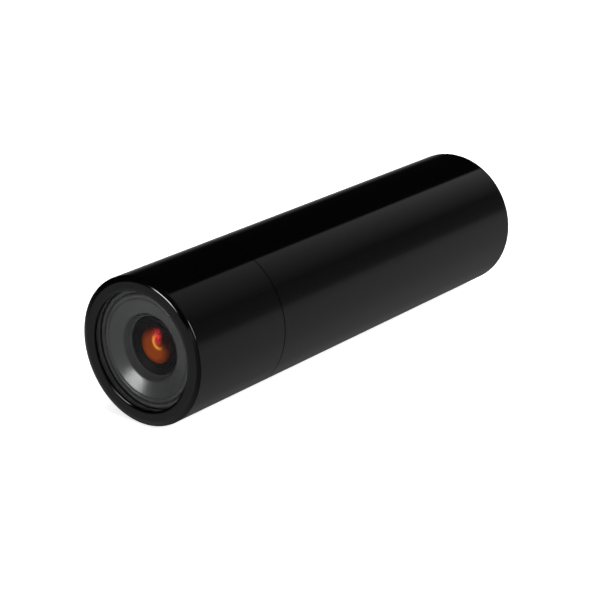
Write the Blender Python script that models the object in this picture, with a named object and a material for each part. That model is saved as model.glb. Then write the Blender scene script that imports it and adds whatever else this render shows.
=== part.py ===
"""Guide camera for a 1.25 inch eyepiece holder: a round aluminium tube with a lens behind a flat window.

The optical axis is the Y axis, with the window towards -Y and the sockets towards +Y, and +Z up.
The origin is on the axis, halfway along the tube. Lengths below are in millimetres, and a
station is a distance behind the flat front rim.
"""

import math

import bmesh
import bpy
from mathutils import Matrix, Vector

MM = 0.001

# Driving dimensions of the tube
TUBE_RADIUS = 15.875
TOTAL_LENGTH = 113.8
SEAM = 26.85
SEAM_GAP = 0.2
REAR_FILLET = 1.77
FRONT_FLAT_RADIUS = 14.8
FRONT_ROUND_DEPTH = 0.4
EDGE_BREAK = 0.1

# Screw joint between the front barrel and the main tube
SPIGOT_RADIUS = 14.5
THREAD_BORE = 14.7
SPIGOT_END = 32.8
THREAD_END = 33.6
TUBE_BORE = 14.2

# Window and the parts stacked behind it
LIP_RADIUS = 12.57
LIP_THICKNESS = 0.6
LIP_FLAT_RADIUS = 13.4
LIP_ROUND_DEPTH = 0.35
BARREL_BORE = 13.05
STACK_RADIUS = 12.95
WINDOW_FRONT = 0.85
WINDOW_THICKNESS = 2.0
SHROUD_FLOOR = 3.9
SHROUD_BACK = 6.4
THROAT_RADIUS = 6.24
THROAT_FRONT = 5.04
THROAT_BACK = 9.0
THROAT_WALL = 1.05
SHROUD_RIM_RADIUS = 11.1
SHROUD_RIM_FRONT = 2.98
SHROUD_RIM_HALF = 0.48
CONE_OUTER = (10.45, 3.1)
CONE_INNER = (7.2, 3.87)
RING_BORE = 11.4
RING_Y = (6.5, 8.5)
RING_SLOT_DEPTH = 1.0
WINDOW_SEAL = (12.1, 3.38)
WINDOW_SEAL_SECTION = 0.45
SEAM_SEAL = (14.22, 27.75)
SEAM_SEAL_SECTION = 0.38
SEAM_GROOVE_RADIUS = 13.8
SEAM_GROOVE_Y = (27.2, 28.3)

# Lens with an M12 barrel, and its holder
LENS_RADIUS = 6.0
LENS_FRONT = 5.25
LENS_BACK = 19.9
LENS_MOUTH = 4.98
LENS_BORE = 4.0
LENS_WAIST = 2.6
STOP_RADIUS = 1.9
FRONT_ELEMENT_RADIUS = 3.95
LOCK_RING_RADIUS = 7.6
LOCK_RING_FRONT = 12.1
HOLDER_BORE = 6.1
HOLDER_RADIUS = 7.5
HOLDER_FRONT = 14.3
HOLDER_CAVITY = 21.5
HOLDER_BACK = 25.9
HOLDER_HALF_BASE = 7.1
EAR_FRONT = 22.9
EAR_SCREW_X = 10.2

# Boards and the frame that carries them
BOARD_THICKNESS = 1.6
SENSOR_BOARD_FRONT = 26.0
SENSOR_BOARD_RADIUS = 12.6
SPACER_CIRCLE = 10.4
SPACER_ANGLES = (90.0, 210.0, 330.0)
BULKHEAD_RADIUS = 14.1
FRONT_BULKHEAD = (34.2, 37.2)
REAR_BULKHEAD = (104.4, 108.4)
RAIL_X = (9.6, 12.8)
RAIL_Z = (-5.4, 1.8)
RAIL_Y = (37.3, 104.3)
RAIL_SCREW_X = 11.0
MAIN_BOARD_TOP = -2.7
MAIN_BOARD_Y = (38.0, 111.0)
MAIN_BOARD_HALF_WIDTH = 10.5
BOARD_TAIL_HALF_WIDTH = 7.0
BOARD_GROOVE_X = 10.6

# Rear end
FLANGE_BORE = 12.2
FLANGE_Y = (108.6, 110.5)
REAR_BORE = 13.4
CAP_RADIUS = 13.3
CAP_Y = (111.15, 113.5)
GUIDE_SOCKET_HALF_WIDTH = 6.6
GUIDE_SOCKET_Z = (-2.5, 8.7)
GUIDE_SOCKET_Y = (98.9, 113.3)
GUIDE_MOUTH_HALF_WIDTH = 4.9
GUIDE_MOUTH_Z = (0.2, 7.0)
GUIDE_MOUTH_DEPTH = 11.5
USB_Z = -6.05
USB_HALF_WIDTH = 4.47
USB_HALF_HEIGHT = 1.63
USB_Y = (105.9, 113.3)
LIGHT_PIPE = (6.0, -5.6)

SCREW_SHANK = 0.85
SCREW_HOLE = 0.98
SCREW_HEAD = 1.7
GAP = 0.1
TOUCH_GAP = 0.02

# Numbers of sides of round pieces, so that they stay light
TUBE_SIDES = 48
RING_SIDES = 36
LENS_SIDES = 24
SCREW_SIDES = 8

FINISHES = {
    "black_anodised": ((0.012, 0.012, 0.013), 0.22, 1.0),
    "grey_anodised": ((0.09, 0.09, 0.095), 0.42, 1.0),
    "bare_aluminium": ((0.75, 0.76, 0.77), 0.35, 1.0),
    "steel": ((0.45, 0.46, 0.48), 0.3, 1.0),
    "gold": ((0.85, 0.62, 0.25), 0.3, 1.0),
    "lens_black": ((0.02, 0.017, 0.02), 0.5, 0.0),
    "rubber": ((0.015, 0.015, 0.015), 0.7, 0.0),
    "grey_rubber": ((0.06, 0.06, 0.062), 0.6, 0.0),
    "window_glass": ((0.9, 0.93, 0.92), 0.02, 0.0),
    "coated_glass": ((0.55, 0.14, 0.05), 0.03, 0.0),
    "filter_glass": ((0.55, 0.75, 0.78), 0.03, 0.0),
    "board": ((0.01, 0.07, 0.035), 0.45, 0.0),
    "chip": ((0.02, 0.02, 0.022), 0.55, 0.0),
    "ceramic": ((0.25, 0.24, 0.27), 0.5, 0.0),
    "black_plastic": ((0.02, 0.02, 0.021), 0.45, 0.0),
    "cable": ((0.55, 0.3, 0.08), 0.4, 0.0),
    "light_pipe": ((0.8, 0.85, 0.85), 0.1, 0.0),
}


def clear_scene():
    for obj in list(bpy.data.objects):
        bpy.data.objects.remove(obj)


def make_finishes():
    """One Principled material for each finish."""
    made = {}
    for name, (colour, roughness, metallic) in FINISHES.items():
        material = bpy.data.materials.new(name)
        material.use_nodes = True
        shader = material.node_tree.nodes["Principled BSDF"]
        shader.inputs["Base Color"].default_value = (*colour, 1.0)
        shader.inputs["Roughness"].default_value = roughness
        shader.inputs["Metallic"].default_value = metallic
        made[name] = material
    return made


def group(name, station, parent=None):
    """An empty on the optical axis at a station, for the pieces that move together."""
    empty = bpy.data.objects.new(name, None)
    empty.location = (0, (station - TOTAL_LENGTH / 2) * MM, 0)
    bpy.context.scene.collection.objects.link(empty)
    if parent is not None:
        empty.parent = parent
        empty.matrix_parent_inverse = parent.matrix_basis.inverted()
    return empty


def finish_object(name, bm, finish, parent, origin):
    """Turns a mesh made in camera millimetres into an object whose origin is the given point."""
    bmesh.ops.recalc_face_normals(bm, faces=bm.faces[:])
    place = Vector((origin[0], origin[1] - TOTAL_LENGTH / 2, origin[2])) * MM
    to_object = Matrix.Scale(MM, 4) @ Matrix.Translation((0, -TOTAL_LENGTH / 2, 0))
    bmesh.ops.transform(bm, matrix=Matrix.Translation(-place) @ to_object, verts=bm.verts[:])
    mesh = bpy.data.meshes.new(name)
    bm.to_mesh(mesh)
    bm.free()
    mesh.shade_smooth()
    mesh.set_sharp_from_angle(angle=math.radians(35))
    mesh.materials.append(finishes[finish])
    obj = bpy.data.objects.new(name, mesh)
    obj.location = place
    bpy.context.scene.collection.objects.link(obj)
    if parent is not None:
        obj.parent = parent
        obj.matrix_parent_inverse = parent.matrix_world.inverted()
    return obj


def turned(name, profile, finish, parent=None, sides=RING_SIDES, centre=(0.0, 0.0)):
    """A piece turned about an axis along Y. The profile is (radius, station) points in order; it
    closes on itself unless its first and last points lie on the axis."""
    bm = bmesh.new()
    points = [bm.verts.new((radius, station, 0)) for radius, station in profile]
    for first, second in zip(points, points[1:]):
        bm.edges.new((first, second))
    if profile[0][0] > 0:
        bm.edges.new((points[-1], points[0]))
    bmesh.ops.spin(
        bm,
        geom=bm.verts[:] + bm.edges[:],
        cent=(0, 0, 0),
        axis=(0, 1, 0),
        angle=2 * math.pi,
        steps=sides,
        use_merge=True,
    )
    bmesh.ops.remove_doubles(bm, verts=bm.verts[:], dist=1e-5)
    bmesh.ops.translate(bm, verts=bm.verts[:], vec=(centre[0], 0, centre[1]))
    origin = (centre[0], min(station for _, station in profile), centre[1])
    return finish_object(name, bm, finish, parent, origin)


def block(name, x_range, y_range, z_range, finish, parent=None):
    """A box between two corners."""
    bm = bmesh.new()
    bmesh.ops.create_cube(bm, size=1.0)
    ranges = (x_range, y_range, z_range)
    middle = [(low + high) / 2 for low, high in ranges]
    size = [high - low for low, high in ranges]
    bmesh.ops.scale(bm, verts=bm.verts[:], vec=size)
    bmesh.ops.translate(bm, verts=bm.verts[:], vec=middle)
    return finish_object(name, bm, finish, parent, middle)


def prism(name, outline, y_range, finish, parent=None):
    """An outline of (x, z) points, drawn out along Y."""
    bm = bmesh.new()
    points = [bm.verts.new((x, y_range[0], z)) for x, z in outline]
    face = bm.faces.new(points)
    grown = bmesh.ops.extrude_face_region(bm, geom=[face])
    moved = [item for item in grown["geom"] if isinstance(item, bmesh.types.BMVert)]
    bmesh.ops.translate(bm, verts=moved, vec=(0, y_range[1] - y_range[0], 0))
    return finish_object(name, bm, finish, parent, (0, y_range[0], 0))


def cylinder_profile(radius, y_range):
    return [(0, y_range[0]), (radius, y_range[0]), (radius, y_range[1]), (0, y_range[1])]


def ring_profile(radii, y_range):
    """The square section of a plain ring."""
    inner, outer = radii
    return [(inner, y_range[0]), (outer, y_range[0]), (outer, y_range[1]), (inner, y_range[1])]


def disc(name, radius, y_range, finish, parent, sides):
    """A flat disc with plain end faces, which is easy to drill."""
    turns = [2 * math.pi * i / sides for i in range(sides)]
    outline = [(radius * math.cos(turn), radius * math.sin(turn)) for turn in turns]
    return prism(name, outline, y_range, finish, parent)


def arc(centre, radius, start, end, steps):
    """Points on an arc in (radius, station) space; angles in degrees, 0 along +radius."""
    turns = [math.radians(start + (end - start) * i / steps) for i in range(steps + 1)]
    return [(centre[0] + radius * math.cos(t), centre[1] + radius * math.sin(t)) for t in turns]


def dome(edge_radius, edge_station, bulge, steps):
    """A spherical lens face from the axis out to its edge; a positive bulge stands forward."""
    points = []
    for i in range(steps + 1):
        radius = edge_radius * i / steps
        points.append((radius, edge_station - bulge * (1 - (radius / edge_radius) ** 2)))
    return points


def rounded_slot(half_width, half_height, centre_z, steps=6):
    """The outline of a slot with half-round ends."""
    reach = half_width - half_height
    outline = []
    for side in (1, -1):
        for i in range(steps + 1):
            turn = math.radians(-90 + 180 * i / steps)
            across = side * (reach + half_height * math.cos(turn))
            outline.append((across, centre_z + side * half_height * math.sin(turn)))
    return outline


def combine(obj, tool, operation):
    """Cuts or joins with a hidden tool object, by an exact Boolean modifier."""
    tool.hide_render = True
    tool.display_type = "WIRE"
    modifier = obj.modifiers.new(tool.name, "BOOLEAN")
    modifier.operation = operation
    modifier.solver = "EXACT"
    modifier.object = tool


def drill(obj, radius, y_range, centre, sides=SCREW_SIDES):
    """A round hole along Y."""
    name = f"drill_{obj.name}_{len(obj.modifiers)}"
    tool = disc(name, radius, y_range, "steel", None, sides)
    tool.location.x = centre[0] * MM
    tool.location.z = centre[1] * MM
    combine(obj, tool, "DIFFERENCE")


def mill(obj, x_range, y_range, z_range):
    """A rectangular pocket or opening."""
    tool = block(f"mill_{obj.name}_{len(obj.modifiers)}", x_range, y_range, z_range, "steel")
    combine(obj, tool, "DIFFERENCE")


def screw(name, centre, head_station, tip_station, parent):
    """A pan-head socket screw. Its head is at head_station and its shank runs on to tip_station."""
    way = 1 if tip_station > head_station else -1
    head_height = 0.9
    socket_depth = 0.5
    socket_radius = 0.75
    under_head = head_station + way * head_height
    profile = [
        (0, head_station + way * socket_depth),
        (socket_radius, head_station + way * socket_depth),
        (socket_radius, head_station),
        (SCREW_HEAD - 0.35, head_station),
        (SCREW_HEAD, head_station + way * 0.35),
        (SCREW_HEAD, under_head),
        (SCREW_SHANK, under_head),
        (SCREW_SHANK, tip_station - way * 0.3),
        (SCREW_SHANK - 0.3, tip_station),
        (0, tip_station),
    ]
    return turned(name, profile, "steel", parent, SCREW_SIDES, centre)


def make_main_tube(parent):
    front = SEAM + SEAM_GAP / 2
    corner = (TUBE_RADIUS - REAR_FILLET, TOTAL_LENGTH - REAR_FILLET)
    profile = [
        (THREAD_BORE, front),
        (TUBE_RADIUS - EDGE_BREAK, front),
        (TUBE_RADIUS, front + EDGE_BREAK),
        *arc(corner, REAR_FILLET, 0, 90, 4),
        (REAR_BORE, TOTAL_LENGTH),
        (REAR_BORE, FLANGE_Y[1]),
        (FLANGE_BORE, FLANGE_Y[1]),
        (FLANGE_BORE, FLANGE_Y[0]),
        (TUBE_BORE, FLANGE_Y[0]),
        (TUBE_BORE, THREAD_END),
        (THREAD_BORE, THREAD_END),
    ]
    return turned("main_tube", profile, "black_anodised", parent, TUBE_SIDES)


def edge_round(flat_radius, end_radius, depth, steps=3):
    """Points of an elliptical round, from the flat front rim to a cylinder."""
    points = []
    for i in range(steps + 1):
        turn = math.radians(90 * i / steps)
        radius = flat_radius + (end_radius - flat_radius) * math.sin(turn)
        points.append((radius, depth * (1 - math.cos(turn))))
    return points


def make_front_barrel(parent):
    back = SEAM - SEAM_GAP / 2
    lead = 0.2
    inner_round = edge_round(LIP_FLAT_RADIUS, LIP_RADIUS, LIP_ROUND_DEPTH)
    profile = [
        (LIP_RADIUS, LIP_THICKNESS),
        *reversed(inner_round),
        *edge_round(FRONT_FLAT_RADIUS, TUBE_RADIUS, FRONT_ROUND_DEPTH),
        (TUBE_RADIUS, back - EDGE_BREAK),
        (TUBE_RADIUS - EDGE_BREAK, back),
        (SPIGOT_RADIUS, back),
        (SPIGOT_RADIUS, SEAM_GROOVE_Y[0]),
        (SEAM_GROOVE_RADIUS, SEAM_GROOVE_Y[0]),
        (SEAM_GROOVE_RADIUS, SEAM_GROOVE_Y[1]),
        (SPIGOT_RADIUS, SEAM_GROOVE_Y[1]),
        (SPIGOT_RADIUS, SPIGOT_END - lead),
        (SPIGOT_RADIUS - lead, SPIGOT_END),
        (BARREL_BORE, SPIGOT_END),
        (BARREL_BORE, LIP_THICKNESS),
    ]
    return turned("front_barrel", profile, "black_anodised", parent, TUBE_SIDES)


def make_window_stack(window_parent, barrel_parent):
    """The window, its seals, the shroud behind it and the ring that holds them."""
    back = WINDOW_FRONT + WINDOW_THICKNESS
    window = [
        (0, WINDOW_FRONT),
        (STACK_RADIUS - EDGE_BREAK, WINDOW_FRONT),
        (STACK_RADIUS, WINDOW_FRONT + EDGE_BREAK),
        (STACK_RADIUS, back - EDGE_BREAK),
        (STACK_RADIUS - EDGE_BREAK, back),
        (0, back),
    ]
    turned("front_window", window, "window_glass", window_parent, TUBE_SIDES)
    gasket_y = (LIP_THICKNESS + TOUCH_GAP, WINDOW_FRONT - TOUCH_GAP)
    gasket = ring_profile((LIP_RADIUS + 0.05, STACK_RADIUS), gasket_y)
    turned("window_gasket", gasket, "rubber", window_parent, TUBE_SIDES)
    seal = arc(WINDOW_SEAL, WINDOW_SEAL_SECTION, 0, 300, 5)
    turned("window_o_ring", seal, "grey_rubber", window_parent)
    rim_low = CONE_OUTER[1] + GAP
    shroud = [
        (STACK_RADIUS, SHROUD_FLOOR),
        (SHROUD_RIM_RADIUS + SHROUD_RIM_HALF, SHROUD_FLOOR),
        (SHROUD_RIM_RADIUS + SHROUD_RIM_HALF, rim_low),
        (SHROUD_RIM_RADIUS + 0.3, SHROUD_RIM_FRONT + 0.07),
        (SHROUD_RIM_RADIUS, SHROUD_RIM_FRONT),
        (SHROUD_RIM_RADIUS - 0.3, SHROUD_RIM_FRONT + 0.07),
        (SHROUD_RIM_RADIUS - SHROUD_RIM_HALF, rim_low),
        CONE_OUTER,
        CONE_INNER,
        (CONE_INNER[0] - 0.2, CONE_INNER[1] + 0.23),
        (THROAT_RADIUS, THROAT_FRONT),
        (THROAT_RADIUS, THROAT_BACK),
        (THROAT_RADIUS + THROAT_WALL, THROAT_BACK),
        (THROAT_RADIUS + THROAT_WALL, SHROUD_BACK),
        (STACK_RADIUS, SHROUD_BACK),
    ]
    turned("lens_shroud", shroud, "grey_anodised", barrel_parent)
    ring = ring_profile((RING_BORE, STACK_RADIUS), RING_Y)
    holder = turned("shroud_ring", ring, "black_anodised", barrel_parent)
    slot_y = (RING_Y[1] - RING_SLOT_DEPTH, RING_Y[1] + 1)
    mill(holder, (-STACK_RADIUS - 1, STACK_RADIUS + 1), slot_y, (-1, 1))
    o_ring = arc(SEAM_SEAL, SEAM_SEAL_SECTION, 0, 300, 5)
    turned("seam_o_ring", o_ring, "rubber", barrel_parent)


def make_lens(barrel_parent, glass_parent):
    barrel = [
        (LENS_MOUTH, LENS_FRONT + 0.05),
        (LENS_MOUTH + 0.05, LENS_FRONT),
        (LENS_RADIUS - 0.2, LENS_FRONT),
        (LENS_RADIUS, LENS_FRONT + 0.2),
        (LENS_RADIUS, LENS_BACK - 0.3),
        (LENS_RADIUS - 0.3, LENS_BACK),
        (LENS_BORE + 0.2, LENS_BACK),
        (LENS_BORE, LENS_BACK - 0.6),
        (LENS_BORE, 15.2),
        (LENS_WAIST, 14.4),
        (LENS_WAIST, 12.4),
        (LENS_BORE + 0.2, 12.3),
        (LENS_BORE + 0.2, 9.2),
        (LENS_MOUTH, 9.2),
    ]
    turned("lens_barrel", barrel, "lens_black", barrel_parent, LENS_SIDES)
    front_ring = [(4.05, 5.75), (4.3, 5.5), (4.9, 5.32), (4.9, 6.6), (4.05, 6.3)]
    turned("lens_front_ring", front_ring, "lens_black", barrel_parent, LENS_SIDES)
    front_element = [*dome(FRONT_ELEMENT_RADIUS, 5.8, 0.45, 3), (FRONT_ELEMENT_RADIUS, 6.2), (0, 6.2)]
    turned("lens_front_element", front_element, "coated_glass", glass_parent, LENS_SIDES)
    stop_slope = STOP_RADIUS + 0.3
    stop = [(STOP_RADIUS, 10.45), (stop_slope, 10.3), (4.15, 10.3), (4.15, 11), (stop_slope, 11)]
    turned("lens_aperture_stop", stop, "lens_black", glass_parent, LENS_SIDES)
    flange = LENS_MOUTH - 0.13
    middle = [*dome(3.7, 8.6, 2.2, 6), (flange, 8.6), (flange, 9.15), (0, 9.15)]
    turned("lens_middle_element", middle, "coated_glass", glass_parent, LENS_SIDES)
    rear = [*dome(3.9, 16.4, 0.6, 3), (3.9, 17.8), (2.4, 18.2), (0, 18.35)]
    turned("lens_rear_element", rear, "coated_glass", glass_parent, LENS_SIDES)


def make_lock_ring(parent):
    lock_y = (LOCK_RING_FRONT, HOLDER_FRONT - GAP)
    ring = [
        (HOLDER_BORE, lock_y[0] + 0.15),
        (HOLDER_BORE + 0.15, lock_y[0]),
        (LOCK_RING_RADIUS - 0.2, lock_y[0]),
        (LOCK_RING_RADIUS, lock_y[0] + 0.2),
        (LOCK_RING_RADIUS, lock_y[1]),
        (HOLDER_BORE, lock_y[1]),
    ]
    obj = turned("lens_lock_ring", ring, "black_anodised", parent, LENS_SIDES)
    for side in (-1, 1):
        edges = sorted((side * (LOCK_RING_RADIUS - 0.6), side * (LOCK_RING_RADIUS + 1)))
        mill(obj, edges, (lock_y[0] - 1, lock_y[0] + 1.1), (-0.8, 0.8))


def make_lens_holder(parent):
    neck_y = (HOLDER_FRONT, HOLDER_CAVITY - 0.4)
    obj = disc("lens_holder", HOLDER_RADIUS, neck_y, "black_plastic", parent, LENS_SIDES)
    ear_end = 12.3
    ear_half = 2.4
    half = HOLDER_HALF_BASE
    outline = [
        (-half, -half),
        (half, -half),
        (half, -ear_half),
        (ear_end, -ear_half),
        (ear_end, ear_half),
        (half, ear_half),
        (half, half),
        (-half, half),
        (-half, ear_half),
        (-ear_end, ear_half),
        (-ear_end, -ear_half),
        (-half, -ear_half),
    ]
    base = prism("holder_base_tool", outline, (HOLDER_CAVITY - 0.8, HOLDER_BACK), "steel")
    combine(obj, base, "UNION")
    inner = HOLDER_HALF_BASE - 0.75
    drill(obj, HOLDER_BORE, (HOLDER_FRONT - 1, HOLDER_BACK + 1), (0, 0), LENS_SIDES)
    mill(obj, (-inner, inner), (HOLDER_CAVITY, HOLDER_BACK + 1), (-inner, inner))
    for side in (-1, 1):
        edges = sorted((side * (half + 0.05), side * (ear_end + 1)))
        mill(obj, edges, (HOLDER_FRONT, EAR_FRONT), (-ear_half - 1, ear_half + 1))
        drill(obj, SCREW_HOLE, (EAR_FRONT - 1, HOLDER_BACK + 1), (side * EAR_SCREW_X, 0))
        name = f"lens_holder_screw_{'left' if side < 0 else 'right'}"
        back = SENSOR_BOARD_FRONT + BOARD_THICKNESS
        screw(name, (side * EAR_SCREW_X, 0), back + 1.0, EAR_FRONT + 0.3, parent)


def spacer_places():
    """Where the three spacers stand round the optical axis, as (x, z)."""
    for angle in SPACER_ANGLES:
        turn = math.radians(angle)
        yield SPACER_CIRCLE * math.cos(turn), SPACER_CIRCLE * math.sin(turn)


def make_sensor(parent):
    back = SENSOR_BOARD_FRONT + BOARD_THICKNESS
    block("ir_cut_filter", (-6, 6), (21.8, 22.5), (-6, 6), "filter_glass", parent)
    block("sensor_cover_glass", (-5.4, 5.4), (23.5, 24.15), (-4.4, 4.4), "window_glass", parent)
    block("image_sensor", (-6, 6), (24.2, 25.9), (-5, 5), "ceramic", parent)
    board_y = (SENSOR_BOARD_FRONT, back)
    board = disc("sensor_board", SENSOR_BOARD_RADIUS, board_y, "board", parent, LENS_SIDES)
    for side in (-1, 1):
        hole = (SENSOR_BOARD_FRONT - 1, back + 1)
        drill(board, SCREW_HOLE + GAP, hole, (side * EAR_SCREW_X, 0))
    for number, place in enumerate(spacer_places(), 1):
        drill(board, SCREW_HOLE + GAP, (SENSOR_BOARD_FRONT - 1, back + 1), place)
        head = SENSOR_BOARD_FRONT - 1.0
        screw(f"sensor_board_screw_{number}", place, head, back + 3.0, parent)
        make_spacer(number, place, back + GAP, parent)


def make_spacer(number, place, front, parent):
    """A round threaded spacer, with a stud that goes into the front bulkhead."""
    body = 2.0
    back = FRONT_BULKHEAD[0] - GAP
    profile = [
        (0, front + 4.0),
        (SCREW_HOLE, front + 4.0),
        (SCREW_HOLE, front),
        (body, front),
        (body, back),
        (SCREW_SHANK, back),
        (SCREW_SHANK, back + 2.4),
        (0, back + 2.4),
    ]
    turned(f"board_spacer_{number}", profile, "steel", parent, SCREW_SIDES, place)


def make_bulkheads(parent):
    metal = "bare_aluminium"
    front = disc("front_bulkhead", BULKHEAD_RADIUS, FRONT_BULKHEAD, metal, parent, RING_SIDES)
    through = (FRONT_BULKHEAD[0] - 1, FRONT_BULKHEAD[1] + 1)
    mill(front, (-5.6, 5.6), through, (-4.8, 4.6))
    for place in spacer_places():
        drill(front, SCREW_HOLE, through, place)
    rear = disc("rear_bulkhead", BULKHEAD_RADIUS, REAR_BULKHEAD, metal, parent, RING_SIDES)
    rear_through = (REAR_BULKHEAD[0] - 1, REAR_BULKHEAD[1] + 1)
    mill(rear, (-7.3, 7.3), rear_through, (-9.3, 9.3))
    for side in (-1, 1):
        centre = (side * RAIL_SCREW_X, 0)
        drill(front, SCREW_HOLE, through, centre)
        drill(rear, SCREW_HOLE, rear_through, centre)


def make_rails(parent):
    """Two grooved rails hold the long board's edges and join the bulkheads."""
    board_bottom = MAIN_BOARD_TOP - BOARD_THICKNESS
    for side, word in ((-1, "left"), (1, "right")):
        inner, outer = RAIL_X
        outline = [
            (inner, RAIL_Z[0]),
            (outer, RAIL_Z[0]),
            (outer, RAIL_Z[1]),
            (inner, RAIL_Z[1]),
            (inner, MAIN_BOARD_TOP + GAP),
            (BOARD_GROOVE_X, MAIN_BOARD_TOP + GAP),
            (BOARD_GROOVE_X, board_bottom - GAP),
            (inner, board_bottom - GAP),
        ]
        outline = [(side * x, z) for x, z in outline]
        rail = prism(f"board_rail_{word}", outline, RAIL_Y, "bare_aluminium", parent)
        centre = (side * RAIL_SCREW_X, 0)
        drill(rail, SCREW_HOLE, (RAIL_Y[0] - 1, RAIL_Y[0] + 7), centre)
        drill(rail, SCREW_HOLE, (RAIL_Y[1] - 7, RAIL_Y[1] + 1), centre)
        screw(f"rail_screw_{word}", centre, FRONT_BULKHEAD[0] - 1.0, RAIL_Y[0] + 5, parent)
        screw(f"rear_cap_screw_{word}", centre, CAP_Y[1] - 0.1, RAIL_Y[1] - 4, parent)


def make_main_board(parent):
    """The long board with its chips, narrower where it passes the rear bulkhead."""
    bottom = MAIN_BOARD_TOP - BOARD_THICKNESS
    wide = MAIN_BOARD_HALF_WIDTH
    board = block(
        "main_board", (-wide, wide), MAIN_BOARD_Y, (bottom, MAIN_BOARD_TOP), "board", parent
    )
    for side in (-1, 1):
        edges = sorted((side * BOARD_TAIL_HALF_WIDTH, side * (wide + 1)))
        mill(board, edges, (RAIL_Y[1] - 0.5, MAIN_BOARD_Y[1] + 1), (bottom - 1, MAIN_BOARD_TOP + 1))
    seat = MAIN_BOARD_TOP + GAP / 2
    block("processor_chip", (-6, 6), (56, 68), (seat, seat + 1.3), "chip", parent)
    block("memory_chip", (-4, 4), (74, 85), (seat, seat + 1.0), "chip", parent)
    block("clock_crystal", (5, 8.2), (48, 53), (seat, seat + 1.2), "steel", parent)
    block("power_inductor", (-8.5, -3.5), (47, 52), (seat, seat + 2.5), "ceramic", parent)
    lamp_z = (bottom - 0.9, bottom - GAP / 2)
    block("status_lamp", (5.2, 6.8), (105.6, 107.2), lamp_z, "light_pipe", parent)
    pipe = cylinder_profile(1.0, (107.4, CAP_Y[1] + 0.1))
    turned("lamp_light_pipe", pipe, "light_pipe", parent, SCREW_SIDES, LIGHT_PIPE)


def make_flex_cable(parent):
    """The flat cable from the sensor board to the long board, and a connector at each end."""
    back = SENSOR_BOARD_FRONT + BOARD_THICKNESS
    start = (back + 1.75, 2.0)
    end = (MAIN_BOARD_Y[0] + 1.4, MAIN_BOARD_TOP + 0.75)
    half_thickness = 0.15
    half_width = 4.0
    steps = 10
    block("sensor_connector", (-5, 5), (back + 0.05, start[0] - GAP), (1.0, 3.0), "black_plastic", parent)
    seat = MAIN_BOARD_TOP + GAP / 2
    connector_y = (end[0] + GAP, end[0] + 4.0)
    block("board_connector", (-5, 5), connector_y, (seat, seat + 1.5), "black_plastic", parent)
    middle = []
    for i in range(steps + 1):
        share = i / steps
        eased = share * share * (3 - 2 * share)
        station = start[0] + (end[0] - start[0]) * share
        middle.append((station, start[1] + (end[1] - start[1]) * eased))
    upper = [(station, z + half_thickness) for station, z in middle]
    lower = [(station, z - half_thickness) for station, z in reversed(middle)]
    bm = bmesh.new()
    face = bm.faces.new([bm.verts.new((-half_width, station, z)) for station, z in upper + lower])
    grown = bmesh.ops.extrude_face_region(bm, geom=[face])
    moved = [item for item in grown["geom"] if isinstance(item, bmesh.types.BMVert)]
    bmesh.ops.translate(bm, verts=moved, vec=(2 * half_width, 0, 0))
    finish_object("flex_cable", bm, "cable", parent, (0, start[0], start[1]))


def make_rear_cap(parent):
    cap = disc("rear_cap", CAP_RADIUS, CAP_Y, "black_anodised", parent, RING_SIDES)
    through = (CAP_Y[0] - 1, CAP_Y[1] + 1)
    clear = 0.15
    wide = GUIDE_SOCKET_HALF_WIDTH + clear
    mill(cap, (-wide, wide), through, (GUIDE_SOCKET_Z[0] - clear, GUIDE_SOCKET_Z[1] + clear))
    slot = rounded_slot(USB_HALF_WIDTH + clear, USB_HALF_HEIGHT + clear, USB_Z)
    combine(cap, prism("usb_hole_tool", slot, through, "steel"), "DIFFERENCE")
    drill(cap, 1.12, through, LIGHT_PIPE)
    for side in (-1, 1):
        centre = (side * RAIL_SCREW_X, 0)
        drill(cap, SCREW_HOLE, through, centre)
        drill(cap, SCREW_HEAD + 0.15, (CAP_Y[1] - 1.2, CAP_Y[1] + 1), centre)
    gasket_y = (FLANGE_Y[1] + GAP / 2, CAP_Y[0] - GAP / 2)
    gasket = ring_profile((FLANGE_BORE + 0.2, CAP_RADIUS), gasket_y)
    turned("rear_gasket", gasket, "rubber", parent, RING_SIDES)


def make_guide_socket(parent):
    """The six-way modular socket of the guide port, with its contacts in its floor."""
    wide = GUIDE_SOCKET_HALF_WIDTH
    mouth = GUIDE_MOUTH_HALF_WIDTH
    body = block(
        "guide_port_socket", (-wide, wide), GUIDE_SOCKET_Y, GUIDE_SOCKET_Z, "black_plastic", parent
    )
    inner_end = GUIDE_SOCKET_Y[1] - GUIDE_MOUTH_DEPTH
    mouth_y = (inner_end, GUIDE_SOCKET_Y[1] + 1)
    mill(body, (-mouth, mouth), mouth_y, GUIDE_MOUTH_Z)
    latch_z = (GUIDE_MOUTH_Z[1] - 0.5, GUIDE_MOUTH_Z[1] + 1.2)
    mill(body, (-1.7, 1.7), mouth_y, latch_z)
    pitch = 1.02
    comb = block(
        "guide_port_contacts",
        (-3.1, 3.1),
        (inner_end + 0.1, inner_end + 0.6),
        (GUIDE_MOUTH_Z[0] + 0.1, GUIDE_MOUTH_Z[0] + 1.0),
        "gold",
        parent,
    )
    for i in range(6):
        middle = (i - 2.5) * pitch
        finger = block(
            f"finger_tool_{i}",
            (middle - 0.25, middle + 0.25),
            (inner_end + 0.3, inner_end + 6.5),
            (GUIDE_MOUTH_Z[0] + 0.3, GUIDE_MOUTH_Z[0] + 0.7),
            "steel",
        )
        combine(comb, finger, "UNION")


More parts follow.
